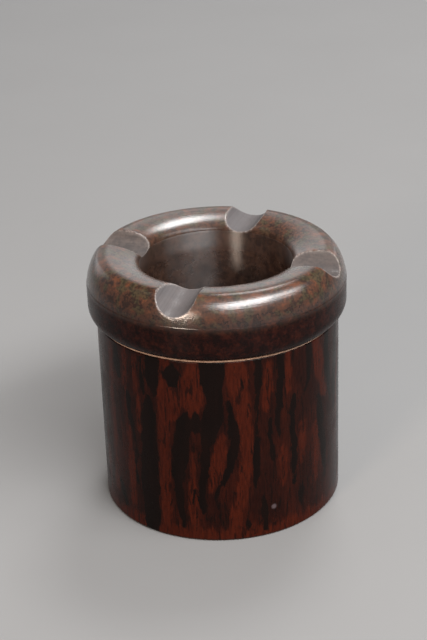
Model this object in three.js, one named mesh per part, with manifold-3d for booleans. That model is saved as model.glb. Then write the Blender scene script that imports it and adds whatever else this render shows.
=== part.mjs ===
// A round pot for brushes: a moulded cup, a thin washer on its rim, and a domed collar that
// lifts off. The collar has a wide bore and four scooped rests where a brush lies across the rim.
// Millimetres, +Z up. The origin is the centre of the foot, on the surface the pot stands on,
// and the four rests run along X and Y.

import * as THREE from 'three';
import { mergeVertices } from 'three/addons/utils/BufferGeometryUtils.js';
import Module from 'manifold-3d';

// Cup
const BODY_RADIUS = 32;
const BODY_HEIGHT = 52.1;
const WALL = 3.6;
const FLOOR = 4;
const FLOOR_FILLET = 4;
const FOOT_ROUND = 0.9;
const RIM_ROUND = 0.3;
const RECESS_RADIUS = 24;
const RECESS_DEPTH = 0.8;

// Washer on the cup's rim
const SEAT_GAP = 0.05;
const WASHER_THICKNESS = 0.5;
const WASHER_INSET = 0.05;

// Collar
const COLLAR_RADIUS = 34.1;
const SEAT_RADIUS = 31.5;
const SIDE_BOTTOM = 56.2;
const SIDE_TOP = 61;
const CROWN_RADIUS = 29;
const CROWN_HEIGHT = 69.7;
const BORE_RADIUS = 20;
const LIP_DROP = 3.8;
const SPIGOT_GAP = 0.3;
const SPIGOT_DEPTH = 8;
const SPIGOT_CHAMFER = 0.8;

// Rests ground across the collar by hand, so they differ a little in depth and in how far they
// fall outwards. The bottom is the height of the groove's lowest line, half way along the cut.
const REST_RADIUS = 5.5;
const REST_START = 14;
const REST_END = 40;
const RESTS = [
  { degrees: 0, bottom: 65.6, fall: 0 },
  { degrees: 90, bottom: 66.2, fall: 0 },
  { degrees: 180, bottom: 65.6, fall: 0 },
  { degrees: 270, bottom: 65.7, fall: 8 },
];

// Fineness of the round surfaces
const TURN_STEPS = 80;
const ARC_STEPS = 7;
const SMALL_ARC_STEPS = 3;
const REST_STEPS = 48;

const QUARTER_TURN = Math.PI / 2;

const mouthRadius = BODY_RADIUS - WALL;
const spigotRadius = mouthRadius - SPIGOT_GAP;
const washerBottom = BODY_HEIGHT + SEAT_GAP;
const washerTop = washerBottom + WASHER_THICKNESS;
const seatHeight = washerTop + SEAT_GAP;

// Points of a quarter ellipse about a centre, from one angle to another, in (radius, height).
function arc(centre, halfWidth, halfHeight, fromAngle, toAngle, steps) {
  const points = [];
  for (let step = 0; step <= steps; step += 1) {
    const angle = fromAngle + ((toAngle - fromAngle) * step) / steps;
    const radius = centre[0] + halfWidth * Math.cos(angle);
    const height = centre[1] + halfHeight * Math.sin(angle);
    points.push([radius, height]);
  }
  return points;
}

// A solid of revolution about Z from a profile of (radius, height) points. The profile goes
// anticlockwise with the radius to the right, and either starts and ends on the axis or closes.
function turned(profile) {
  const points = profile.map(([radius, height]) => new THREE.Vector2(radius, height));
  const geometry = new THREE.LatheGeometry(points, TURN_STEPS);
  return geometry.rotateX(QUARTER_TURN);
}

const wasm = await Module();
wasm.setup();

// A closed geometry as a solid that can be cut.
function toSolid(geometry) {
  const bare = geometry.clone();
  bare.deleteAttribute('normal');
  bare.deleteAttribute('uv');
  const merged = mergeVertices(bare);
  const vertProperties = new Float32Array(merged.attributes.position.array);
  const triVerts = new Uint32Array(merged.index.array);
  return new wasm.Manifold(new wasm.Mesh({ numProp: 3, vertProperties, triVerts }));
}

// A cut solid as a geometry again.
function toGeometry(solid) {
  const mesh = solid.getMesh();
  const geometry = new THREE.BufferGeometry();
  geometry.setAttribute('position', new THREE.BufferAttribute(mesh.vertProperties, 3));
  geometry.setIndex(new THREE.BufferAttribute(mesh.triVerts, 1));
  geometry.computeVertexNormals();
  return geometry;
}

function cupGeometry() {
  const fillet = [mouthRadius - FLOOR_FILLET, FLOOR + FLOOR_FILLET];
  const foot = [BODY_RADIUS - FOOT_ROUND, FOOT_ROUND];
  const rim = [BODY_RADIUS - RIM_ROUND, BODY_HEIGHT - RIM_ROUND];
  return turned([
    [0, RECESS_DEPTH],
    [RECESS_RADIUS - RECESS_DEPTH, RECESS_DEPTH],
    [RECESS_RADIUS, 0],
    ...arc(foot, FOOT_ROUND, FOOT_ROUND, -QUARTER_TURN, 0, SMALL_ARC_STEPS),
    ...arc(rim, RIM_ROUND, RIM_ROUND, 0, QUARTER_TURN, SMALL_ARC_STEPS),
    [mouthRadius, BODY_HEIGHT],
    ...arc(fillet, FLOOR_FILLET, FLOOR_FILLET, 0, -QUARTER_TURN, SMALL_ARC_STEPS + 1),
    [0, FLOOR],
  ]);
}

function washerGeometry() {
  const outer = BODY_RADIUS - WASHER_INSET;
  return turned([
    [mouthRadius, washerBottom],
    [outer, washerBottom],
    [outer, washerTop],
    [mouthRadius, washerTop],
    [mouthRadius, washerBottom],
  ]);
}

// The collar before its rests are ground: spigot, rounded lower edge, upright side, a steep
// shoulder up to the crown, and a long easy slope down to the lip of the bore.
function plainCollarGeometry() {
  const spigotBottom = seatHeight - SPIGOT_DEPTH;
  const edge = [SEAT_RADIUS, SIDE_BOTTOM];
  const edgeWidth = COLLAR_RADIUS - SEAT_RADIUS;
  const edgeHeight = SIDE_BOTTOM - seatHeight;
  const shoulder = [CROWN_RADIUS, SIDE_TOP];
  const shoulderWidth = COLLAR_RADIUS - CROWN_RADIUS;
  const shoulderHeight = CROWN_HEIGHT - SIDE_TOP;
  const slope = [CROWN_RADIUS, CROWN_HEIGHT - LIP_DROP];
  const slopeWidth = CROWN_RADIUS - BORE_RADIUS;
  const slopePoints = arc(slope, slopeWidth, LIP_DROP, QUARTER_TURN, Math.PI, ARC_STEPS);
  return turned([
    [BORE_RADIUS, spigotBottom],
    [spigotRadius - SPIGOT_CHAMFER, spigotBottom],
    [spigotRadius, spigotBottom + SPIGOT_CHAMFER],
    [spigotRadius, seatHeight],
    ...arc(edge, edgeWidth, edgeHeight, -QUARTER_TURN, 0, SMALL_ARC_STEPS),
    ...arc(shoulder, shoulderWidth, shoulderHeight, 0, QUARTER_TURN, ARC_STEPS),
    ...slopePoints.slice(1),
    [BORE_RADIUS, spigotBottom],
  ]);
}

function collarGeometry() {
  let collar = toSolid(plainCollarGeometry());
  const length = REST_END - REST_START;
  for (const rest of RESTS) {
    const cutter = new THREE.CylinderGeometry(REST_RADIUS, REST_RADIUS, length, REST_STEPS);
    cutter.rotateZ(QUARTER_TURN);
    cutter.rotateY(THREE.MathUtils.degToRad(rest.fall));
    cutter.translate((REST_START + REST_END) / 2, 0, rest.bottom + REST_RADIUS);
    cutter.rotateZ(THREE.MathUtils.degToRad(rest.degrees));
    collar = collar.subtract(toSolid(cutter));
  }
  return toGeometry(collar);
}

function piece(name, geometry, color, roughness) {
  const material = new THREE.MeshStandardMaterial({ color, roughness, metalness: 0 });
  const mesh = new THREE.Mesh(geometry, material);
  mesh.name = name;
  return mesh;
}

const pot = new THREE.Group();
pot.add(piece('pot_body', cupGeometry(), 0x4f1a0e, 0.3));
pot.add(piece('joint_washer', washerGeometry(), 0x8c6b52, 0.85));
pot.add(piece('rim_collar', collarGeometry(), 0x43261b, 0.35));

export default pot;
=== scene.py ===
import math
import random

import bmesh
import bpy
import numpy as np
from mathutils import Matrix, Vector, noise


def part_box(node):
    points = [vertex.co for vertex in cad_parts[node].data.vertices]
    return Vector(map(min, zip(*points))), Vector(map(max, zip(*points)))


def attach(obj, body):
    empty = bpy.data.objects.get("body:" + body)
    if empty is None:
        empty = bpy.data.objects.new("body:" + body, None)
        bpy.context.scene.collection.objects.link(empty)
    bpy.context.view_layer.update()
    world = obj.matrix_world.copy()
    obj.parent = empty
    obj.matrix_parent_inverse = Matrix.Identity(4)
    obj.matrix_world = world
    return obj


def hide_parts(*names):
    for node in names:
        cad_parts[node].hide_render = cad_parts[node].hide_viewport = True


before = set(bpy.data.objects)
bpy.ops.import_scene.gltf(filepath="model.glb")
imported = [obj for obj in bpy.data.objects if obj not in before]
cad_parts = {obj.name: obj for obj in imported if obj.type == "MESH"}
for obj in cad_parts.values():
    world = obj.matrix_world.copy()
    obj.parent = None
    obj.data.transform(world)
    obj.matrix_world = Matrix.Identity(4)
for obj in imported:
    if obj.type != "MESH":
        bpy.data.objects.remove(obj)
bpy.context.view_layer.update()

# The looks of a brush pot: a streaked moulded cup, a thin fibre washer, and a domed collar
# with four hand-ground rests. Lengths are in millimetres until a mesh is made, and angles are
# in degrees anticlockwise from +X, seen from above.

MM = 0.001
# How near counts as on the same surface
TOUCH = 0.01
# How far each seed moves a noise field, so that no two are alike
SEED_SHIFT = (7.3, 3.1, 5.7)


def node_box(node):
    """The lowest and highest corners of a CAD node in millimetres."""
    low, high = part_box(node)
    return np.array(low) / MM, np.array(high) / MM


_, BODY_HIGH = node_box("pot_body")
WASHER_LOW, WASHER_HIGH = node_box("joint_washer")
COLLAR_LOW, COLLAR_HIGH = node_box("rim_collar")

# Cup
BODY_RADIUS = BODY_HIGH[0]
BODY_TOP = BODY_HIGH[2]
WALL = 3.6
FLOOR = 4
FLOOR_FILLET = 4
FOOT_ROUND = 0.9
RIM_ROUND = 0.3
RECESS_RADIUS = 24
RECESS_DEPTH = 0.8
MOUTH_RADIUS = BODY_RADIUS - WALL
# Small roundings that only show close up, and how far the recess is flat short of its corner
MOUTH_EDGE = 0.25
RECESS_CORNER = (0.6, 0.3)
RECESS_LIP = 0.3
RECESS_SHORT = 1
# Steps in the arcs of the profiles
SMALL_STEPS = 4
FOOT_STEPS = 8
FILLET_STEPS = 12
EDGE_STEPS = 16
TURN_STEPS = 6
SHOULDER_STEPS = 50
SLOPE_STEPS = 52
# How finely the cup is meshed, along its profile in millimetres and round it in degrees
CUP_STEP = 0.62
CUP_TURN = 1.125
# How far the moulded side waves in and out, and how long the waves are
WAVE_DEPTH = 0.02
WAVE_SIZE = 9
# Inside the cup the streaks are plain noise, drawn out upwards
INNER_STRETCH = (1, 1, 0.2)
INNER_SIZE = 3.5
INNER_CONTRAST = 2.4
INNER_BALANCE = 0.5
# The wall's outside starts this far out from the mouth and this high
OUTSIDE_START = (1, 0.1)
# The warm brown band at the foot fades out with height
FOOT_BAND_START = 0.6
FOOT_BAND_DEPTH = 1.2
FOOT_BAND_FADE = 0.5

# Washer
WASHER_EDGE = 0.12
WASHER_RAGGED = 0.05
RAGGED_SIZE = 1.6
RAGGED_FINE = 0.6
RAGGED_REACH = 0.5
WASHER_STEP = 0.6
WASHER_TURN = 0.75

# Collar
COLLAR_RADIUS = COLLAR_HIGH[0]
COLLAR_TOP = COLLAR_HIGH[2]
SPIGOT_BOTTOM = COLLAR_LOW[2]
SEAT_GAP = 0.05
SEAT_HEIGHT = WASHER_HIGH[2] + SEAT_GAP
SEAT_RADIUS = 31.5
SIDE_BOTTOM = 56.2
CROWN_RADIUS = 29
BORE_RADIUS = 20
LIP_DROP = 3.8
SPIGOT_GAP = 0.3
SPIGOT_RADIUS = MOUTH_RADIUS - SPIGOT_GAP
SPIGOT_CHAMFER = 0.8
SPIGOT_EDGE = 0.3
# The upright side stops just short of a slight, rounded edge, where it turns into the shoulder
TURN_HEIGHT = 61.82
TURN_ROUND = 2.5
TURN_SHORT = 0.3
TURN_END = 8.8
# The shoulder is an ellipse about the crown's radius
SHOULDER_HEIGHT = 59
SHOULDER_WIDTH = 5.292
SHOULDER_START = 17.6
# The collar's mesh: the longest step along its profile, and the close rows at the bore's lip
COLLAR_STEP = 0.9
BORE_STEP = 0.2
BORE_ROWS = 12
# Degrees between its columns: close together as far as the spread each side of a rest, and
# further apart from there to just clear of the next one
REST_SPREAD = 15
FINE_TURN = 0.36
COARSE_TURN = 1.5
CLEAR_TURN = 0.5
# Faces this near to the bore's radius have the bore's finish
BORE_MARGIN = 0.05

# Rests. The middle is half way along the cut, measured from the pot's axis.
REST_RADIUS = 5.5
REST_MIDDLE = 27
# The part of the collar that a rest can reach
REST_START = 10
REST_SIDE = 8
REST_BELOW = 2.5
# The groove's sides are steep but never upright, and go on straight past the cutter
STEEPEST = 0.985
SIDE_SLOPE = 6
# Wear: fine grooves along the rest, slow waves, a rounded rim with chips, and a pale rim that is partly
# rubbed wear and partly a painted highlight
LINE_DEPTH = 0.02
LINE_ACROSS = 1.6
LINE_ALONG = 0.12
DIP_DEPTH = 0.06
DIP_SIZE = 3
RIM_BLEND = 0.35
RIM_UNEVEN = 0.2
CHIP_SIZE = 0.7
CHIP_START = 0.25
CHIP_WIDTH = 0.35
GROUND_WIDTH = 0.25
RIM_GLINT_WIDTH = 0.36
# Each rest: direction in degrees, height of the groove's bottom at its middle, how steeply it
# falls outwards in degrees, how pale its floor is, how pale its rim is (rubbed wear and painted
# highlight), and how deep the chips along its rim are
RESTS = [
    (0, 65.6, 0, 0.55, 0.75, 0.5),
    (90, 66.2, 0, 1, 0.5, 0.5),
    (180, 65.6, 0, 0.5, 0.5, 0.5),
    (270, 65.7, 8, 0.9, 0.9, 0.9),
]

# The side of the pot that faces the camera
FRONT = -70.5

# Dark streaks on the front half of the cup, each from top to bottom: degrees to the right of
# the front, height, and half width in degrees
STREAKS = [
    [(-56, 51, 1), (-56, 47, 3.4), (-54, 43, 1.5)],
    [(-58, 12, 0.6), (-56, 8, 2.6), (-54, 4.5, 1.4)],
    [(-48, 42, 0.8), (-48, 37, 1.9), (-47, 32, 1.8), (-45.5, 28, 0.9), (-44, 22, 1), (-44, 13, 0.8)],
    [(-38.5, 51, 0.8), (-38.5, 45, 1.4), (-37.5, 41, 0.7)],
    [(-32, 53, 3.6), (-32.5, 46, 3.8), (-31.5, 41, 0.8)],
    [(-35, 40, 1.5), (-35.5, 35, 4.2), (-36, 25, 4.6), (-36.5, 15, 5.4), (-36, 6, 5), (-36, 1.5, 4)],
    [(-22, 51, 1), (-22.5, 48.5, 4.8), (-22, 46, 3)],
    [(-15, 39, 0.6), (-17.5, 35, 3.6), (-19, 30, 4), (-19.8, 24, 4), (-21, 19, 3.2), (-21, 14, 2.5),
     (-20.2, 9, 2.2), (-19.2, 4, 0.8)],
    [(-12, 38, 1), (-11.5, 35, 3.6), (-11, 32, 1)],
    [(-3.5, 53, 6), (-3.6, 47, 5.4), (-2.6, 41, 4), (-4, 36, 5.2), (-5.5, 32, 3.8), (-7, 28, 2.2),
     (-8, 22, 1.8), (-9.6, 17, 2.2), (-9.6, 11, 1.6), (-8.6, 6, 0.6)],
    [(3.4, 41, 0.6), (4.4, 36, 2), (6, 31, 2.5), (5.2, 27, 2.2), (3.2, 22, 1.6), (1.6, 19.4, 1.5),
     (-1.6, 16.6, 1.5), (-3.6, 13.4, 1.4), (-2, 9, 0.9), (0.4, 4, 0.5)],
    [(-13.6, 17, 0.4), (-14, 11, 0.9), (-12.6, 7, 0.4)],
    [(17, 53, 2.2), (17.6, 47, 1.8), (16.6, 41, 1), (15.8, 34, 0.8), (16.2, 26, 1.6), (16, 20, 1.5),
     (14.6, 15, 0.5)],
    [(9, 52, 0.5), (9.4, 46, 0.5), (8.6, 42, 0.3)],
    [(22.8, 34, 0.8), (22.6, 30, 1.2), (24, 26, 1.5), (24.6, 22, 0.5)],
    [(28.4, 53, 2.2), (28.6, 46, 1.9), (27.6, 39, 2), (27, 33, 1.6), (27.4, 28, 0.5)],
    [(35.6, 39, 1), (34.6, 35, 2.1), (35, 28, 1.4), (35.6, 21, 2), (35.6, 14, 1)],
    [(45, 53, 2), (45.4, 47, 2), (44.6, 42, 1.2), (41.4, 38, 0.5)],
    [(52, 36, 1), (53.6, 31, 2.8), (55, 24, 3), (57, 17, 2.4), (58, 10, 1)],
    [(60, 53, 2), (60, 46, 3), (62, 38, 2.5), (63, 32, 1)],
    [(18.4, 12, 0.8), (19.4, 7, 1.9), (19.8, 2.5, 1.6)],
    [(10.8, 6.5, 0.6), (11.2, 4.5, 1.4), (11, 3, 0.8)],
    [(40, 14, 0.6), (39.6, 10, 1.6), (40, 6, 0.8)],
]
# Streaks for the hidden half: how many, over which angles, and the ranges of their sizes. Two in
# three run down from the rim.
HIDDEN_STREAKS = 34
HIDDEN_SPAN = (68, 296)
HIDDEN_RIM = 53
HIDDEN_TOPS = (25, 50)
HIDDEN_LENGTHS = (12, 44)
HIDDEN_WIDTHS = (0.8, 3.6)
HIDDEN_LEAN = 3
HIDDEN_SWAY = 1.2
STREAK_SEED = 11
# The depth of a point that is near no streak
FAR_OUTSIDE = -9.0

# Brighter red-brown zones on the front half, in the same form
GLOWS = [
    [(-27, 53, 2), (-27.5, 47, 2.6), (-27.5, 30, 2.4), (-28, 15, 2.4), (-28, 3, 2.6)],
    [(-26.5, 53, 3.2), (-25.5, 49, 2.6)],
    [(-21, 45, 3.6), (-20.5, 41, 4), (-22, 36, 2)],
    [(-10.5, 53, 2.6), (-12, 46, 4.6), (-13, 41, 5), (-13, 37.5, 2.6)],
    [(7, 53, 3.4), (7.6, 46, 4.4), (9.5, 40, 3.2), (11.5, 30, 2.8), (11.5, 22, 3), (9, 15, 2.4),
     (6, 8, 3), (4, 4, 2)],
    [(0, 31, 0.8), (-1, 27, 3), (-3.5, 21, 3.2), (-5.4, 15, 1)],
    [(-13.5, 26, 0.8), (-14, 18, 1.7), (-15, 8, 2.2), (-14.5, 3, 2.2)],
    [(-49, 52, 1), (-49.5, 44, 1.5), (-48, 34, 1.2)],
    [(-61, 50, 1.4), (-62, 38, 1.8), (-61, 22, 1.6), (-62, 8, 1.4)],
    [(-42.5, 50, 0.9), (-42, 40, 1.1), (-41.5, 30, 0.9)],
    [(-48, 29, 1.4), (-48, 18, 2), (-48, 7, 1.6)],
    [(50, 53, 2), (54, 44, 4), (57, 36, 2.4)],
    [(50, 28, 1.2), (51, 20, 2), (50, 12, 1)],
    [(22, 50, 1.4), (22, 44, 2), (21, 38, 1)],
    [(33, 52, 1), (33, 46, 1.5), (32, 41, 0.8)],
    [(40.5, 30, 1), (41, 24, 1.5), (41, 19, 0.8)],
    [(29, 25, 0.8), (30, 19, 1.6), (29, 14, 0.8)],
]
HIDDEN_GLOWS = 22
GLOW_SEED = 5

# A small pale nick near the foot, to the right of the front
NICK_TURN = math.radians(FRONT + 24)
NICK_HEIGHT = 8.5
NICK = (BODY_RADIUS * math.cos(NICK_TURN), BODY_RADIUS * math.sin(NICK_TURN), NICK_HEIGHT)
NICK_INNER = 0.3
NICK_OUTER = 1.0

# Colours, as linear red, green and blue
BROWN_DULL = (0.0084, 0.0019, 0.0012)
BROWN_BRIGHT = (0.0246, 0.0039, 0.0016)
FIBRE_DARKER = (0.72, 0.72, 0.74)
FIBRE_LIGHTER = (1.18, 1.15, 1.08)
BROWN_SPECK = (0.007, 0.003, 0.002)
STREAK_BLACK = (0.0012, 0.0009, 0.0008)
STREAK_BROWN = (0.0045, 0.0016, 0.0011)
NICK_PALE = (0.085, 0.065, 0.07)
# The collar's side colours are painted darker as painted shade, and its top colours painted lighter as
# painted light from above; their three tones and the olive patches are the moulding's own mottle
SHADED_SIDE_DARK = (0.003, 0.0006, 0.0004)
SHADED_SIDE_MIDDLE = (0.007, 0.0012, 0.0007)
SHADED_SIDE_LIGHT = (0.0135, 0.0026, 0.0013)
LIT_TOP_DARK = (0.016, 0.0074, 0.0045)
LIT_TOP_MIDDLE = (0.038, 0.0158, 0.0086)
LIT_TOP_LIGHT = (0.064, 0.0225, 0.0102)
OLIVE_DARK = (0.014, 0.0106, 0.0054)
OLIVE_LIGHT = (0.034, 0.027, 0.013)
BORE_DARK = (0.016, 0.0085, 0.006)
BORE_LIGHT = (0.034, 0.018, 0.012)
FRESH_DARK = (0.062, 0.056, 0.056)
FRESH_LIGHT = (0.08, 0.073, 0.074)
DULL_DARK = (0.026, 0.0175, 0.0125)
DULL_LIGHT = (0.058, 0.042, 0.033)
# Pale rim colour: partly rubbed wear, partly a painted highlight on the rounded rim
RUBBED_AND_GLINT = (0.27, 0.235, 0.215)
TAN_DARK = (0.22, 0.13, 0.086)
TAN_LIGHT = (0.33, 0.215, 0.152)
TAN_FIBRE = (0.13, 0.07, 0.042)
FLOOR_DARK = (0.133, 0.131, 0.129)
FLOOR_LIGHT = (0.142, 0.14, 0.138)
WORLD_TINT = (0.9, 0.93, 1, 1)
WORLD_STRENGTH = 0.2

# Surfaces. The moulded phenolic is dull under its gloss. The bore has little gloss, and shines
# by itself.
PHENOLIC_IOR = 1.5
DULL_SPECULAR = 0.08
# The collar's two finishes: lowest and highest roughness, how far the turning marks draw out its
# shine, and specular
POLISHED = ((0.34, 0.44), 0.85, DULL_SPECULAR)
BORED = ((0.37, 0.41), 1, 0.9)
# The collar's side is smoother than its top, and that fades out between these heights
SMOOTH_START = 60
SMOOTH_END = 63
# How far noise moves the edges of the streaks and of the warm zones
STREAK_RAGGED = 3.2
GLOW_RAGGED = 4
# Heights between which the collar's colour goes from the side's painted shade to the top's painted
# light, and its gloss comes in
LIT_TOP_START = 59.5
LIT_TOP_END = 67.5
GLOSS_START = 60.6
GLOSS_END = 63.5
# Radii between which the worn crest starts and ends, and the bore's tone fades out
CREST_START = (27.6, 29.6)
CREST_END = (30.3, 31.3)
BORE_FADE = (BORE_RADIUS + 0.1, BORE_RADIUS + 1.6)
# Turning marks and the scratches along the rests
MARK_SIZE = 0.22


# ---------------------------------------------------------------- shapes

def arc(centre, half_width, half_height, start, end, steps):
    """Points of an elliptical arc about a centre, between two angles in degrees."""
    angles = np.radians(np.linspace(start, end, steps + 1))
    radius = centre[0] + half_width * np.cos(angles)
    height = centre[1] + half_height * np.sin(angles)
    return list(zip(radius, height))


def refined(profile, step, closed=False):
    """The profile with points added so that none is more than a step from the next."""
    points = list(profile) + ([profile[0]] if closed else [])
    finer = []
    for start, end in zip(points, points[1:]):
        start, end = np.array(start, float), np.array(end, float)
        pieces = max(1, math.ceil(np.linalg.norm(end - start) / step))
        for piece in range(pieces):
            finer.append(start + (end - start) * piece / pieces)
    if not closed:
        finer.append(np.array(points[-1], float))
    return np.array(finer)


def spun(profile, angles):
    """Every point of the profile at every angle, as an array of columns of rows."""
    turn = np.radians(angles)[:, None]
    radius, height = profile[None, :, 0], profile[None, :, 1]
    height = np.broadcast_to(height, (len(angles), len(profile)))
    return np.stack([radius * np.cos(turn), radius * np.sin(turn), height], -1)


def skin(name, grid, closed):
    """A mesh object over a grid of columns round the axis. Closed joins each column's ends."""
    columns, rows = grid.shape[:2]
    column = np.arange(columns)[:, None]
    row = np.arange(rows if closed else rows - 1)[None, :]
    next_column, next_row = (column + 1) % columns, (row + 1) % rows
    corners = [column * rows + row, next_column * rows + row]
    corners += [next_column * rows + next_row, column * rows + next_row]
    shape = (columns, row.size)
    faces = np.stack([np.broadcast_to(corner, shape) for corner in corners], -1)
    mesh = bpy.data.meshes.new(name)
    mesh.from_pydata((grid.reshape(-1, 3) * MM).tolist(), [], faces.reshape(-1, 4).tolist())
    mesh.validate()
    mesh.update()
    mesh.shade_smooth()
    obj = bpy.data.objects.new(name, mesh)
    bpy.context.scene.collection.objects.link(obj)
    return obj


def close_poles(obj):
    """Merges the points that meet on the axis."""
    shape = bmesh.new()
    shape.from_mesh(obj.data)
    bmesh.ops.remove_doubles(shape, verts=shape.verts, dist=1e-6)
    shape.to_mesh(obj.data)
    shape.free()


def corners_of(obj):
    """The mesh's points in millimetres."""
    points = np.zeros(len(obj.data.vertices) * 3)
    obj.data.vertices.foreach_get("co", points)
    return points.reshape(-1, 3) / MM


def keep_values(obj, name, values):
    """Stores one number for each point, for the material to read."""
    attribute = obj.data.attributes.new(name, "FLOAT", "POINT")
    attribute.data.foreach_set("value", np.asarray(values, np.float32).ravel())


def rough_field(points, size, seed):
    """Smooth noise from -1 to 1 at each point, with features of about the given size."""
    shift = Vector([seed * length for length in SEED_SHIFT])
    return np.array([noise.noise(Vector(point) / size + shift) for point in points])


def finish_piece(obj, body, node, slot, *materials):
    """Gives the piece its materials and puts it in the place of its CAD node."""
    for material in materials:
        obj.data.materials.append(material)
    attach(obj, body)
    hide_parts(node)


# ---------------------------------------------------------------- cup

def hidden_streaks(count, seed):
    """Streaks of the same kind for the back of the cup."""
    draw = random.Random(seed)
    first, last = HIDDEN_SPAN
    streaks = []
    for number in range(count):
        angle = first + (last - first) * (number + draw.uniform(0.2, 0.8)) / count
        top = draw.choice([HIDDEN_RIM, HIDDEN_RIM, draw.uniform(*HIDDEN_TOPS)])
        length = draw.uniform(*HIDDEN_LENGTHS)
        width = draw.uniform(*HIDDEN_WIDTHS)
        lean = draw.uniform(-HIDDEN_LEAN, HIDDEN_LEAN)
        points = []
        for share in (0, 0.2, 0.45, 0.7, 1):
            swell = math.sin(math.pi * (0.15 + 0.75 * share)) * width
            sway = lean * share + draw.uniform(-HIDDEN_SWAY, HIDDEN_SWAY)
            points.append((angle + sway, max(1, top - length * share), max(0.5, swell)))
        streaks.append(points)
    return streaks


def streak_depth(points, streaks):
    """How far each point on the cup's side lies inside one of the streaks, in millimetres."""
    per_degree = math.radians(BODY_RADIUS)
    angle = np.degrees(np.arctan2(points[:, 1], points[:, 0])) - FRONT
    depth = np.full(len(points), FAR_OUTSIDE)
    for streak in streaks:
        across, height, half_width = np.array(streak[::-1]).T
        inside = np.clip(points[:, 2], height[0], height[-1])
        centre = np.interp(inside, height, across)
        width = np.interp(inside, height, half_width) * per_degree
        offset = ((angle - centre + 180) % 360 - 180) * per_degree
        beyond = points[:, 2] - inside
        depth = np.maximum(depth, width - np.hypot(offset, beyond))
    return depth


def cup_profile():
    """Half of the cup's outline, from under the foot round to the middle of its floor."""
    fillet = (MOUTH_RADIUS - FLOOR_FILLET, FLOOR + FLOOR_FILLET)
    foot = (BODY_RADIUS - FOOT_ROUND, FOOT_ROUND)
    rim = (BODY_RADIUS - RIM_ROUND, BODY_TOP - RIM_ROUND)
    mouth = (MOUTH_RADIUS + MOUTH_EDGE, BODY_TOP - MOUTH_EDGE)
    recess_end = RECESS_RADIUS - RECESS_DEPTH
    corner_width, corner_height = RECESS_CORNER
    corner = (recess_end - corner_width, RECESS_DEPTH - corner_height)
    lip = (RECESS_RADIUS + RECESS_LIP, RECESS_LIP)
    profile = [(0, RECESS_DEPTH), (recess_end - RECESS_SHORT, RECESS_DEPTH)]
    profile += arc(corner, corner_width, corner_height, 90, 30, SMALL_STEPS)
    profile += arc(lip, RECESS_LIP, RECESS_LIP, 210, 270, SMALL_STEPS)
    profile += arc(foot, FOOT_ROUND, FOOT_ROUND, -90, 0, FOOT_STEPS)
    profile += arc(rim, RIM_ROUND, RIM_ROUND, 0, 90, SMALL_STEPS)
    profile += arc(mouth, MOUTH_EDGE, MOUTH_EDGE, 90, 180, SMALL_STEPS)
    profile += arc(fillet, FLOOR_FILLET, FLOOR_FILLET, 0, -90, FILLET_STEPS)
    profile += [(0, FLOOR)]
    return refined(profile, CUP_STEP)


def cup():
    """The streaked cup. Its points store how far they lie inside a streak and a warm zone."""
    grid = spun(cup_profile(), np.arange(0, 360, CUP_TURN))
    obj = skin("streaked_cup", grid, closed=False)
    close_poles(obj)
    points = corners_of(obj)
    radius = np.hypot(points[:, 0], points[:, 1])
    inner = rough_field(points * INNER_STRETCH, INNER_SIZE, seed=2)
    inner = INNER_CONTRAST * inner - INNER_BALANCE
    out_start, up_start = OUTSIDE_START
    outside = (radius > MOUTH_RADIUS + out_start) & (points[:, 2] > up_start)
    dark = streak_depth(points, STREAKS + hidden_streaks(HIDDEN_STREAKS, STREAK_SEED))
    glow = streak_depth(points, GLOWS + hidden_streaks(HIDDEN_GLOWS, GLOW_SEED))
    above_band = np.maximum(points[:, 2] - FOOT_BAND_START, 0)
    foot_band = FOOT_BAND_DEPTH - FOOT_BAND_FADE * above_band
    keep_values(obj, "streak", np.where(outside, dark, inner))
    keep_values(obj, "glow", np.where(outside, np.maximum(glow, foot_band), -inner))
    on_side = radius > BODY_RADIUS - TOUCH
    wave = WAVE_DEPTH * rough_field(points, WAVE_SIZE, seed=4) * on_side
    inward = WAVE_DEPTH / BODY_RADIUS * (wave != 0)[:, None]
    wall = points * MM
    wall[:, :2] *= 1 + (wave / BODY_RADIUS)[:, None] - inward
    obj.data.vertices.foreach_set("co", wall.ravel())
    obj.data.update()
    return obj


# ---------------------------------------------------------------- washer

def washer():
    """The fibre washer, slightly ragged round its outer edge."""
    low, high = WASHER_LOW[2], WASHER_HIGH[2]
    outer, inner = WASHER_HIGH[0], MOUTH_RADIUS
    edge = WASHER_EDGE
    profile = arc((outer - edge, low + edge), edge, edge, -90, 0, SMALL_STEPS)
    profile += arc((outer - edge, high - edge), edge, edge, 0, 90, SMALL_STEPS)
    profile += [(inner + edge, high), (inner, high - edge), (inner, low + edge), (inner + edge, low)]
    profile = refined(profile, WASHER_STEP, closed=True)
    grid = spun(profile, np.arange(0, 360, WASHER_TURN))
    points = grid.reshape(-1, 3)
    radius = np.hypot(points[:, 0], points[:, 1])
    ragged = rough_field(points, RAGGED_SIZE, seed=6)
    ragged += 0.5 * rough_field(points, RAGGED_FINE, seed=7)
    pull = np.where(radius > outer - RAGGED_REACH, WASHER_RAGGED * (ragged - 1), 0)
    points[:, :2] *= (1 + pull / radius)[:, None]
    return skin("fibre_washer", grid, closed=True)


# ---------------------------------------------------------------- collar

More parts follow.
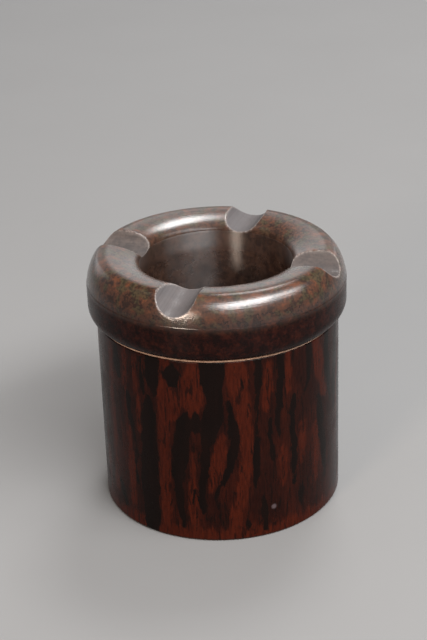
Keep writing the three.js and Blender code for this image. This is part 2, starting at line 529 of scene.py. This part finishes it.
def collar_profile():
    """Half of the collar's outline before its rests are ground."""
    edge = (SEAT_RADIUS, SIDE_BOTTOM)
    edge_width = COLLAR_RADIUS - SEAT_RADIUS
    spigot = (BORE_RADIUS + SPIGOT_EDGE, SPIGOT_BOTTOM + SPIGOT_EDGE)
    turn = (COLLAR_RADIUS - TURN_ROUND, TURN_HEIGHT)
    shoulder = (CROWN_RADIUS, SHOULDER_HEIGHT)
    shoulder_rise = COLLAR_TOP - SHOULDER_HEIGHT
    lip_height = COLLAR_TOP - LIP_DROP
    slope = (CROWN_RADIUS, lip_height)
    profile = arc(spigot, SPIGOT_EDGE, SPIGOT_EDGE, 180, 270, SMALL_STEPS)
    profile += [(SPIGOT_RADIUS - SPIGOT_CHAMFER, SPIGOT_BOTTOM)]
    profile += [(SPIGOT_RADIUS, SPIGOT_BOTTOM + SPIGOT_CHAMFER), (SPIGOT_RADIUS, SEAT_HEIGHT)]
    profile += arc(edge, edge_width, SIDE_BOTTOM - SEAT_HEIGHT, -90, 0, EDGE_STEPS)
    profile += [(COLLAR_RADIUS, TURN_HEIGHT - TURN_SHORT)]
    profile += arc(turn, TURN_ROUND, TURN_ROUND, 0, TURN_END, TURN_STEPS)
    profile += arc(shoulder, SHOULDER_WIDTH, shoulder_rise, SHOULDER_START, 90, SHOULDER_STEPS)
    profile += arc(slope, CROWN_RADIUS - BORE_RADIUS, LIP_DROP, 90, 180, SLOPE_STEPS)[1:]
    bore = [(BORE_RADIUS, lip_height - BORE_STEP * step) for step in range(1, BORE_ROWS)]
    return refined(profile + bore, COLLAR_STEP, closed=True)


def collar_angles():
    """Columns round the collar, close together across each rest."""
    angles = []
    for direction, *_ in RESTS:
        first, last = direction - REST_SPREAD, direction + REST_SPREAD
        angles += list(np.arange(first, last, FINE_TURN))
        angles += list(np.arange(last, first + 90 - CLEAR_TURN, COARSE_TURN))
    return np.unique(np.round(np.array(angles) % 360, 3))


def soft_minimum(first, second, blend):
    """The lower of two heights, with the corner between them rounded over a blend distance."""
    share = np.clip(0.5 + (second - first) / (2 * blend), 0, 1)
    return second * (1 - share) + first * share - blend * share * (1 - share)


def near_rest(points, direction, bottom):
    """The points a rest can reach, and how far each one is along the rest and to its side."""
    turn = math.radians(direction)
    along = points[:, 0] * math.cos(turn) + points[:, 1] * math.sin(turn)
    aside = points[:, 1] * math.cos(turn) - points[:, 0] * math.sin(turn)
    in_line = (along > REST_START) & (np.abs(aside) < REST_SIDE)
    index = np.nonzero(in_line & (points[:, 2] > bottom - REST_BELOW))[0]
    return index, along[index], aside[index]


def groove_height(along, aside, bottom, fall):
    """The height of a rest's surface at each point, before any wear."""
    side = np.abs(aside)
    steep = np.clip(side, 0, STEEPEST * REST_RADIUS)
    lean = math.radians(fall)
    axis = bottom + REST_RADIUS - math.tan(lean) * (along - REST_MIDDLE)
    groove = axis - np.sqrt(REST_RADIUS**2 - steep**2) / math.cos(lean)
    return groove + SIDE_SLOPE * (side - steep)


def groove_marks(points, along, aside, number):
    """The fine lines and slow waves that grinding left along a rest."""
    lines = np.stack([aside * LINE_ACROSS, along * LINE_ALONG, np.full(len(along), number)], 1)
    fine = LINE_DEPTH * rough_field(lines, 1, seed=20)
    return fine + DIP_DEPTH * rough_field(points, DIP_SIZE, seed=21)


def finish_bore(obj):
    """Gives the faces on the bore's wall the second of the collar's two materials."""
    centres = np.zeros(len(obj.data.polygons) * 3)
    obj.data.polygons.foreach_get("center", centres)
    from_axis = np.hypot(centres[0::3], centres[1::3]) / MM
    in_bore = (from_axis < BORE_RADIUS + BORE_MARGIN).astype(np.int32)
    obj.data.polygons.foreach_set("material_index", in_bore)


def collar():
    """The domed collar. Its points store how each rest is ground and bared, and how pale its rim is
    from wear and a painted highlight.
    """
    grid = spun(collar_profile(), collar_angles())
    points = grid.reshape(-1, 3)
    ground, bare, rim_wear_and_glint, across = np.zeros((4, len(points)))
    chip = rough_field(points, CHIP_SIZE, seed=12)
    for number, (direction, bottom, fall, pale, rim_pale_and_glint, chipped) in enumerate(RESTS):
        index, along, aside = near_rest(points, direction, bottom)
        groove = groove_height(along, aside, bottom, fall)
        groove += groove_marks(points[index], along, aside, number)
        before = points[index, 2].copy()
        above = before - groove
        after = soft_minimum(before, groove, RIM_BLEND + RIM_UNEVEN * chip[index])
        nick = np.clip(chip[index] - CHIP_START, 0, 1) * np.exp(-((above / CHIP_WIDTH) ** 2))
        points[index, 2] = after - chipped * nick
        ground[index] = np.clip(above / GROUND_WIDTH + 0.5, 0, 1)
        bare[index] = pale
        # The pale rim is partly rubbed wear and partly a painted highlight
        rim_wear_and_glint[index] = rim_pale_and_glint * np.exp(-((above / RIM_GLINT_WIDTH) ** 2))
        across[index] = aside
    obj = skin("mottled_collar", grid, closed=True)
    finish_bore(obj)
    keep_values(obj, "ground", ground)
    keep_values(obj, "bare", bare)
    keep_values(obj, "rim_wear_and_glint", rim_wear_and_glint)
    keep_values(obj, "across", across)
    return obj


# ---------------------------------------------------------------- materials

class Graph:
    """Short calls for the nodes of one material. Sizes of patterns are in millimetres."""

    def __init__(self, name):
        self.material = bpy.data.materials.new(name)
        self.material.use_nodes = True
        self.tree = self.material.node_tree
        self.shader = self.tree.nodes["Principled BSDF"]
        self.place = self.tree.nodes.new("ShaderNodeTexCoord").outputs["Object"]

    def put(self, value, socket):
        """Links a socket to another one, or sets its value."""
        if isinstance(value, bpy.types.NodeSocket):
            self.tree.links.new(value, socket)
        else:
            socket.default_value = value

    def math(self, operation, first, second=0.0, clamp=False):
        """Arithmetic with one or two numbers."""
        node = self.tree.nodes.new("ShaderNodeMath")
        node.operation = operation
        node.use_clamp = clamp
        self.put(first, node.inputs[0])
        self.put(second, node.inputs[1])
        return node.outputs[0]

    def stored(self, name):
        """A number kept on the mesh's points."""
        node = self.tree.nodes.new("ShaderNodeAttribute")
        node.attribute_name = name
        return node.outputs["Fac"]

    def scaled(self, vector, scale):
        """A place with each direction multiplied by a number."""
        node = self.tree.nodes.new("ShaderNodeMapping")
        self.put(vector, node.inputs["Vector"])
        node.inputs["Scale"].default_value = scale
        return node.outputs[0]

    def parts(self, vector):
        """A place as its X, Y and Z."""
        node = self.tree.nodes.new("ShaderNodeSeparateXYZ")
        self.put(vector, node.inputs[0])
        return node.outputs

    def joined(self, x, y, z):
        """A place made from its X, Y and Z."""
        node = self.tree.nodes.new("ShaderNodeCombineXYZ")
        for value, socket in zip((x, y, z), node.inputs):
            self.put(value, socket)
        return node.outputs[0]

    def noise(self, size, stretch=(1, 1, 1), detail=3, rough=0.5, vector=None, bend=0):
        """Noise from 0 to 1 with features of about a size. A low stretch draws them out."""
        node = self.tree.nodes.new("ShaderNodeTexNoise")
        self.put(self.scaled(vector or self.place, stretch), node.inputs["Vector"])
        node.inputs["Scale"].default_value = 1 / (size * MM)
        node.inputs["Detail"].default_value = detail
        node.inputs["Roughness"].default_value = rough
        node.inputs["Distortion"].default_value = bend
        return node.outputs["Fac"]

    def step(self, value, low, high, start=0.0, end=1.0):
        """Goes smoothly from start to end as value goes from low to high."""
        node = self.tree.nodes.new("ShaderNodeMapRange")
        node.interpolation_type = "SMOOTHSTEP"
        self.put(value, node.inputs["Value"])
        node.inputs["From Min"].default_value = low
        node.inputs["From Max"].default_value = high
        node.inputs["To Min"].default_value = start
        node.inputs["To Max"].default_value = end
        return node.outputs[0]

    def blend(self, share, first, second, how="MIX"):
        """Goes from the first colour to the second with the share."""
        node = self.tree.nodes.new("ShaderNodeMix")
        node.data_type = "RGBA"
        node.blend_type = how
        self.put(share, node.inputs["Factor"])
        self.put(colour(first), node.inputs[6])
        self.put(colour(second), node.inputs[7])
        return node.outputs[2]

    def distance(self, point):
        """How far the surface is from a point given in millimetres."""
        node = self.tree.nodes.new("ShaderNodeVectorMath")
        node.operation = "DISTANCE"
        self.put(self.place, node.inputs[0])
        node.inputs[1].default_value = [length * MM for length in point]
        return node.outputs["Value"]

    def around_axis(self):
        """The direction that the turning marks run in."""
        node = self.tree.nodes.new("ShaderNodeTangent")
        node.direction_type = "RADIAL"
        node.axis = "Z"
        return node.outputs[0]

    def bump(self, height, distance, strength=1.0, normal=None):
        """A bump of a height from 0 to 1, over a real distance in millimetres."""
        node = self.tree.nodes.new("ShaderNodeBump")
        node.inputs["Distance"].default_value = distance * MM
        node.inputs["Strength"].default_value = strength
        self.put(height, node.inputs["Height"])
        if normal:
            self.put(normal, node.inputs["Normal"])
        return node.outputs[0]


def colour(value):
    """A colour of three numbers as one of four. Anything else stays as it is."""
    if isinstance(value, tuple) and len(value) == 3:
        return (*value, 1)
    return value


def streaked_material():
    """Red-brown phenolic with upright near-black streaks, polished."""
    graph = Graph("streaked_phenolic")
    # The stored streaks and warm zones get ragged edges, and thin wisps run between them
    depth, glow = graph.stored("streak"), graph.stored("glow")
    ragged = graph.noise(1.5, (1, 1, 0.3), detail=4, rough=0.62, bend=0.5)
    ragged = graph.math("SUBTRACT", ragged, 0.5)
    depth = graph.math("ADD", depth, graph.math("MULTIPLY", ragged, STREAK_RAGGED))
    glow = graph.math("ADD", glow, graph.math("MULTIPLY", ragged, GLOW_RAGGED))
    wisps = graph.noise(0.9, (1, 1, 0.14), detail=4, rough=0.65, bend=0.7)
    dark = graph.math("MAXIMUM", graph.step(depth, -0.25, 0.25), graph.step(wisps, 0.54, 0.62, 0, 0.75))
    patch = graph.step(graph.noise(4.5, (1, 1, 0.3)), 0.35, 0.65, -0.15, 0.35)
    warmth = graph.math("ADD", graph.step(glow, -0.9, 0.5), patch, clamp=True)
    # The red-brown has fine upright fibres and small dark specks
    brown = graph.blend(warmth, BROWN_DULL, BROWN_BRIGHT)
    fibre = graph.noise(0.5, (1, 1, 0.14), detail=3, rough=0.6)
    lines = graph.blend(graph.step(fibre, 0.3, 0.7), FIBRE_DARKER, FIBRE_LIGHTER)
    brown = graph.blend(1.0, brown, lines, "MULTIPLY")
    specks = graph.step(graph.noise(0.5, (1, 1, 0.5), detail=2), 0.63, 0.7, 0, 0.45)
    brown = graph.blend(specks, brown, BROWN_SPECK)
    black = graph.blend(graph.noise(2.2, (1, 1, 0.2)), STREAK_BLACK, STREAK_BROWN)
    tone = graph.blend(dark, brown, black)
    nick = graph.step(graph.distance(NICK), NICK_INNER * MM, NICK_OUTER * MM, 0.5, 0)
    graph.put(graph.blend(nick, tone, NICK_PALE), graph.shader.inputs["Base Color"])
    # The polish is a little uneven, over a faint skin of fibres
    polish = graph.noise(6, detail=4, rough=0.6)
    graph.put(graph.step(polish, 0.3, 0.75, 0.22, 0.34), graph.shader.inputs["Roughness"])
    graph.shader.inputs["IOR"].default_value = PHENOLIC_IOR
    graph.shader.inputs["Specular IOR Level"].default_value = DULL_SPECULAR
    skin_height = graph.math("ADD", graph.noise(0.9, detail=2), graph.math("MULTIPLY", fibre, 0.5))
    graph.put(graph.bump(skin_height, 0.006), graph.shader.inputs["Normal"])
    return graph.material


def three_tones(graph, shade, dark, middle, light):
    """A colour that goes through three tones as the shade rises."""
    tone = graph.blend(graph.step(shade, 0.43, 0.5), dark, middle)
    return graph.blend(graph.step(shade, 0.53, 0.6), tone, light)


def painted_light_collar_colour(graph, shade, grain, in_bore, z):
    """The collar's colour: red-brown sides darkened as painted shade, a top lightened as painted light
    from above, with olive patches, and the bore.
    """
    olive = graph.step(graph.noise(2.8, detail=2), 0.5, 0.6, 0, 0.75)
    green = graph.blend(graph.step(grain, 0.4, 0.6), OLIVE_DARK, OLIVE_LIGHT)
    top = graph.blend(olive, three_tones(graph, shade, LIT_TOP_DARK, LIT_TOP_MIDDLE, LIT_TOP_LIGHT), green)
    side = three_tones(graph, shade, SHADED_SIDE_DARK, SHADED_SIDE_MIDDLE, SHADED_SIDE_LIGHT)
    # Painted light: the side's painted shade below these heights, the top's painted light above them
    body = graph.blend(graph.step(z, LIT_TOP_START * MM, LIT_TOP_END * MM), side, top)
    wall = graph.blend(graph.step(shade, 0.4, 0.6), BORE_DARK, BORE_LIGHT)
    return graph.blend(graph.math("MULTIPLY", in_bore, 0.8), body, wall)


def ground_colour(graph, shade, scratch, bare):
    """The floor of a rest, from dull brown to freshly ground and pale."""
    fresh = graph.blend(graph.step(scratch, 0.3, 0.7), FRESH_DARK, FRESH_LIGHT)
    dull = graph.blend(graph.step(shade, 0.4, 0.6), DULL_DARK, DULL_LIGHT)
    return graph.blend(bare, dull, fresh)


def gloss_weight(graph, ground, in_bore, radius, z):
    """How much gloss there is: less on the side, the crest, the rests and the bore."""
    inner_slope = graph.step(radius, CREST_START[0] * MM, CREST_START[1] * MM)
    outer_slope = graph.step(radius, CREST_END[0] * MM, CREST_END[1] * MM, 1, 0)
    crest = graph.math("MULTIPLY", inner_slope, outer_slope)
    above_side = graph.step(z, GLOSS_START * MM, GLOSS_END * MM, 0.06, 1)
    gloss = graph.math("MULTIPLY", above_side, graph.step(crest, 0, 1, 1, 0.3))
    gloss = graph.math("MULTIPLY", gloss, graph.step(ground, 0, 1, 1, 0.12))
    return graph.math("MULTIPLY", gloss, graph.step(in_bore, 0, 1, 1, 0.15))


def mottled_material(name, roughness, anisotropy, specular):
    """The collar's finer, granular mottle, with turning marks and paler ground rests."""
    graph = Graph(name)
    ground, bare = graph.stored("ground"), graph.stored("bare")
    rim_wear_and_glint, across = graph.stored("rim_wear_and_glint"), graph.stored("across")
    x, y, z = graph.parts(graph.place)
    squared = graph.math("ADD", graph.math("MULTIPLY", x, x), graph.math("MULTIPLY", y, y))
    radius = graph.math("SQRT", squared)
    in_bore = graph.step(radius, BORE_FADE[0] * MM, BORE_FADE[1] * MM, 1, 0)
    # Patterns for the colour and for the surface
    blotch = graph.noise(2.4, detail=2, rough=0.55, bend=0.4)
    grain = graph.noise(0.7, detail=3, rough=0.6)
    shade = graph.math("ADD", graph.math("MULTIPLY", blotch, 0.55), graph.math("MULTIPLY", grain, 0.45))
    flecks = graph.noise(0.5, detail=3, rough=0.7)
    ring_place = graph.joined(radius, 0.0, z)
    rings = graph.noise(MARK_SIZE, detail=3, rough=0.6, vector=ring_place)
    scratch_place = graph.joined(graph.math("MULTIPLY", across, MM), 0.0, 0.0)
    scratch = graph.noise(MARK_SIZE, detail=3, rough=0.6, vector=scratch_place)
    # Colour
    body = painted_light_collar_colour(graph, shade, grain, in_bore, z)
    floor = ground_colour(graph, shade, scratch, bare)
    body = graph.blend(graph.math("MULTIPLY", ground, 0.95), body, floor)
    # The pale rim of each rest: partly rubbed wear, partly a painted highlight on the rounded rim
    rubbed_and_glint = graph.math("MULTIPLY", rim_wear_and_glint, graph.step(flecks, 0.4, 0.6, 0.2, 0.8))
    graph.put(graph.blend(rubbed_and_glint, body, RUBBED_AND_GLINT), graph.shader.inputs["Base Color"])
    # Shine, drawn out by the turning marks
    satin = graph.step(graph.noise(5, detail=4, rough=0.65), 0.3, 0.75, *roughness)
    satin = graph.math("ADD", satin, graph.math("MULTIPLY", ground, 0.2))
    satin = graph.math("ADD", satin, graph.step(z, SMOOTH_START * MM, SMOOTH_END * MM, -0.12, 0))
    graph.put(satin, graph.shader.inputs["Roughness"])
    graph.shader.inputs["IOR"].default_value = PHENOLIC_IOR
    graph.shader.inputs["Specular IOR Level"].default_value = specular
    graph.shader.inputs["Anisotropic"].default_value = anisotropy
    graph.shader.inputs["Anisotropic Rotation"].default_value = 0.25
    graph.put(graph.around_axis(), graph.shader.inputs["Tangent"])
    graph.put(gloss_weight(graph, ground, in_bore, radius, z), graph.shader.inputs["Coat Weight"])
    graph.shader.inputs["Coat Roughness"].default_value = 0.2
    graph.shader.inputs["Coat IOR"].default_value = PHENOLIC_IOR
    # Fine relief: turning marks and grains, and scratches along the rests
    grains = graph.math("MULTIPLY", flecks, graph.step(in_bore, 0, 1, 1.3, 0))
    polished = graph.bump(graph.math("ADD", rings, grains), 0.024)
    full = graph.bump(graph.math("MULTIPLY", scratch, ground), 0.018, normal=polished)
    graph.put(full, graph.shader.inputs["Normal"])
    graph.put(full, graph.shader.inputs["Coat Normal"])
    return graph.material


def fibre_material():
    """Pressed tan fibre, matt and slightly uneven."""
    graph = Graph("fibre_washer")
    tone = graph.noise(1.6, detail=4, rough=0.65)
    fibres = graph.noise(0.3, (1, 1, 2.5), detail=3, rough=0.7)
    tan = graph.blend(graph.step(tone, 0.3, 0.7), TAN_DARK, TAN_LIGHT)
    tan = graph.blend(graph.step(fibres, 0.5, 0.75, 0, 0.5), tan, TAN_FIBRE)
    graph.put(tan, graph.shader.inputs["Base Color"])
    graph.put(graph.step(fibres, 0.2, 0.8, 0.7, 0.95), graph.shader.inputs["Roughness"])
    graph.put(graph.bump(fibres, 0.04), graph.shader.inputs["Normal"])
    return graph.material


def paper_material():
    """Plain pale floor, faintly uneven."""
    graph = Graph("pale_floor")
    tone = graph.noise(60, detail=3)
    graph.put(graph.blend(tone, FLOOR_DARK, FLOOR_LIGHT), graph.shader.inputs["Base Color"])
    graph.put(0.85, graph.shader.inputs["Roughness"])
    return graph.material


# ---------------------------------------------------------------- camera and light

# The camera stands 385 mm from the pot's axis and 230 mm above the floor. Lengths for the camera,
# the floor and the lights are in metres.
CAMERA_AZIMUTH = 19.5
CAMERA_REACH = 0.3849
CAMERA_HEIGHT = 0.2302
CAMERA_YAW = -0.171
CAMERA_PITCH = 25.232
CAMERA_ROLL = -1.98
LENS = 90

FLOOR_REACH = 6.0
# Where the panels aim
AIM_POINT = (0, 0, 0.05)
# Ceiling lights: name, the two ends as right of, beyond and above the pot, width and radiance
STRIPS = [
    ("long_ceiling_light", (0.1, -1.4, 1.12), (0.95, -0.61, 1.12), 0.56, 36.0),
    ("dim_ceiling_light", (0.95, -0.61, 1.12), (1.5, -0.1, 1.12), 0.56, 16.0),
    ("second_ceiling_light", (0.25, 0.42, 1.12), (0.19, 0.88, 1.12), 0.38, 25.0),
]
# Panels: name, degrees to the camera's right, degrees up, distance, length and width, radiance
# and tint
PANELS = [
    ("overhead_panel", 10, 78, 1.3, (1.9, 1.9), 0.55, (1, 1, 1)),
    ("back_wall", 180, 20, 1.6, (3.6, 0.9), 0.9, (1, 1, 1)),
    ("warm_lamp", -32, 20, 1.2, (0.24, 0.11), 130.0, (1, 0.82, 0.68)),
]


def from_camera_side(azimuth, elevation, distance):
    """A point round the pot: azimuth is to the camera's right, from the camera's side."""
    turn = math.radians(CAMERA_AZIMUTH + azimuth)
    rise = math.radians(elevation)
    level = distance * math.cos(rise)
    return Vector((level * math.sin(turn), -level * math.cos(turn), distance * math.sin(rise)))


def add_camera():
    """A camera that sees the pot as in the photo."""
    data = bpy.data.cameras.new("camera")
    data.lens = LENS
    obj = bpy.data.objects.new("camera", data)
    bpy.context.scene.collection.objects.link(obj)
    place = from_camera_side(0, 0, CAMERA_REACH)
    place.z = CAMERA_HEIGHT
    turn = Matrix.Rotation(math.radians(CAMERA_AZIMUTH - CAMERA_YAW), 4, "Z")
    tilt = Matrix.Rotation(math.radians(90 - CAMERA_PITCH), 4, "X")
    roll = Matrix.Rotation(math.radians(CAMERA_ROLL), 4, "Z")
    obj.matrix_world = Matrix.Translation(place) @ turn @ tilt @ roll
    bpy.context.scene.camera = obj


def area_light(name, length, width, radiance, tint=(1, 1, 1)):
    """A soft rectangular light of a given radiance, which the camera doesn't see directly."""
    data = bpy.data.lights.new(name, "AREA")
    data.shape = "RECTANGLE"
    data.size, data.size_y = length, width
    data.energy = radiance * math.pi * length * width
    data.color = tint
    obj = bpy.data.objects.new(name, data)
    bpy.context.scene.collection.objects.link(obj)
    obj.visible_camera = False
    return obj


def add_panel(name, azimuth, elevation, distance, size, radiance, tint):
    """A light aimed at the pot."""
    obj = area_light(name, *size, radiance, tint)
    place = from_camera_side(azimuth, elevation, distance)
    aim = (Vector(AIM_POINT) - place).to_track_quat("-Z", "Y").to_matrix().to_4x4()
    obj.matrix_world = Matrix.Translation(place) @ aim


def add_strip(name, start, end, width, radiance):
    """A long ceiling light that shines straight down."""
    start, end = Vector(start), Vector(end)
    obj = area_light(name, (end - start).length, width, radiance)
    middle = (start + end) / 2
    heading = math.atan2(end.y - start.y, end.x - start.x)
    view = Matrix.Rotation(math.radians(CAMERA_AZIMUTH), 4, "Z")
    obj.matrix_world = view @ Matrix.Translation(middle) @ Matrix.Rotation(heading, 4, "Z")


def add_floor():
    """A plain square floor with the pot at its middle."""
    reach = FLOOR_REACH
    mesh = bpy.data.meshes.new("floor")
    corners = [(-reach, -reach, 0), (reach, -reach, 0), (reach, reach, 0), (-reach, reach, 0)]
    mesh.from_pydata(corners, [], [(0, 1, 2, 3)])
    obj = bpy.data.objects.new("floor", mesh)
    bpy.context.scene.collection.objects.link(obj)
    mesh.materials.append(paper_material())


def add_world():
    """A dim, even light from all round."""
    world = bpy.data.worlds.new("studio")
    world.use_nodes = True
    background = world.node_tree.nodes["Background"]
    background.inputs["Color"].default_value = WORLD_TINT
    background.inputs["Strength"].default_value = WORLD_STRENGTH
    bpy.context.scene.world = world


add_camera()
add_floor()
add_world()
for strip in STRIPS:
    add_strip(*strip)
for panel in PANELS:
    add_panel(*panel)

finish_piece(cup(), "pot", "pot_body", "streaked_phenolic", streaked_material())
finish_piece(washer(), "seat", "joint_washer", "fibre_washer", fibre_material())
finish_piece(
    collar(),
    "collar",
    "rim_collar",
    "mottled_phenolic",
    mottled_material("mottled_phenolic", *POLISHED),
    mottled_material("bored_phenolic", *BORED),
)

bpy.context.scene.view_settings.view_transform = "Standard"
bpy.context.scene.view_settings.look = "None"
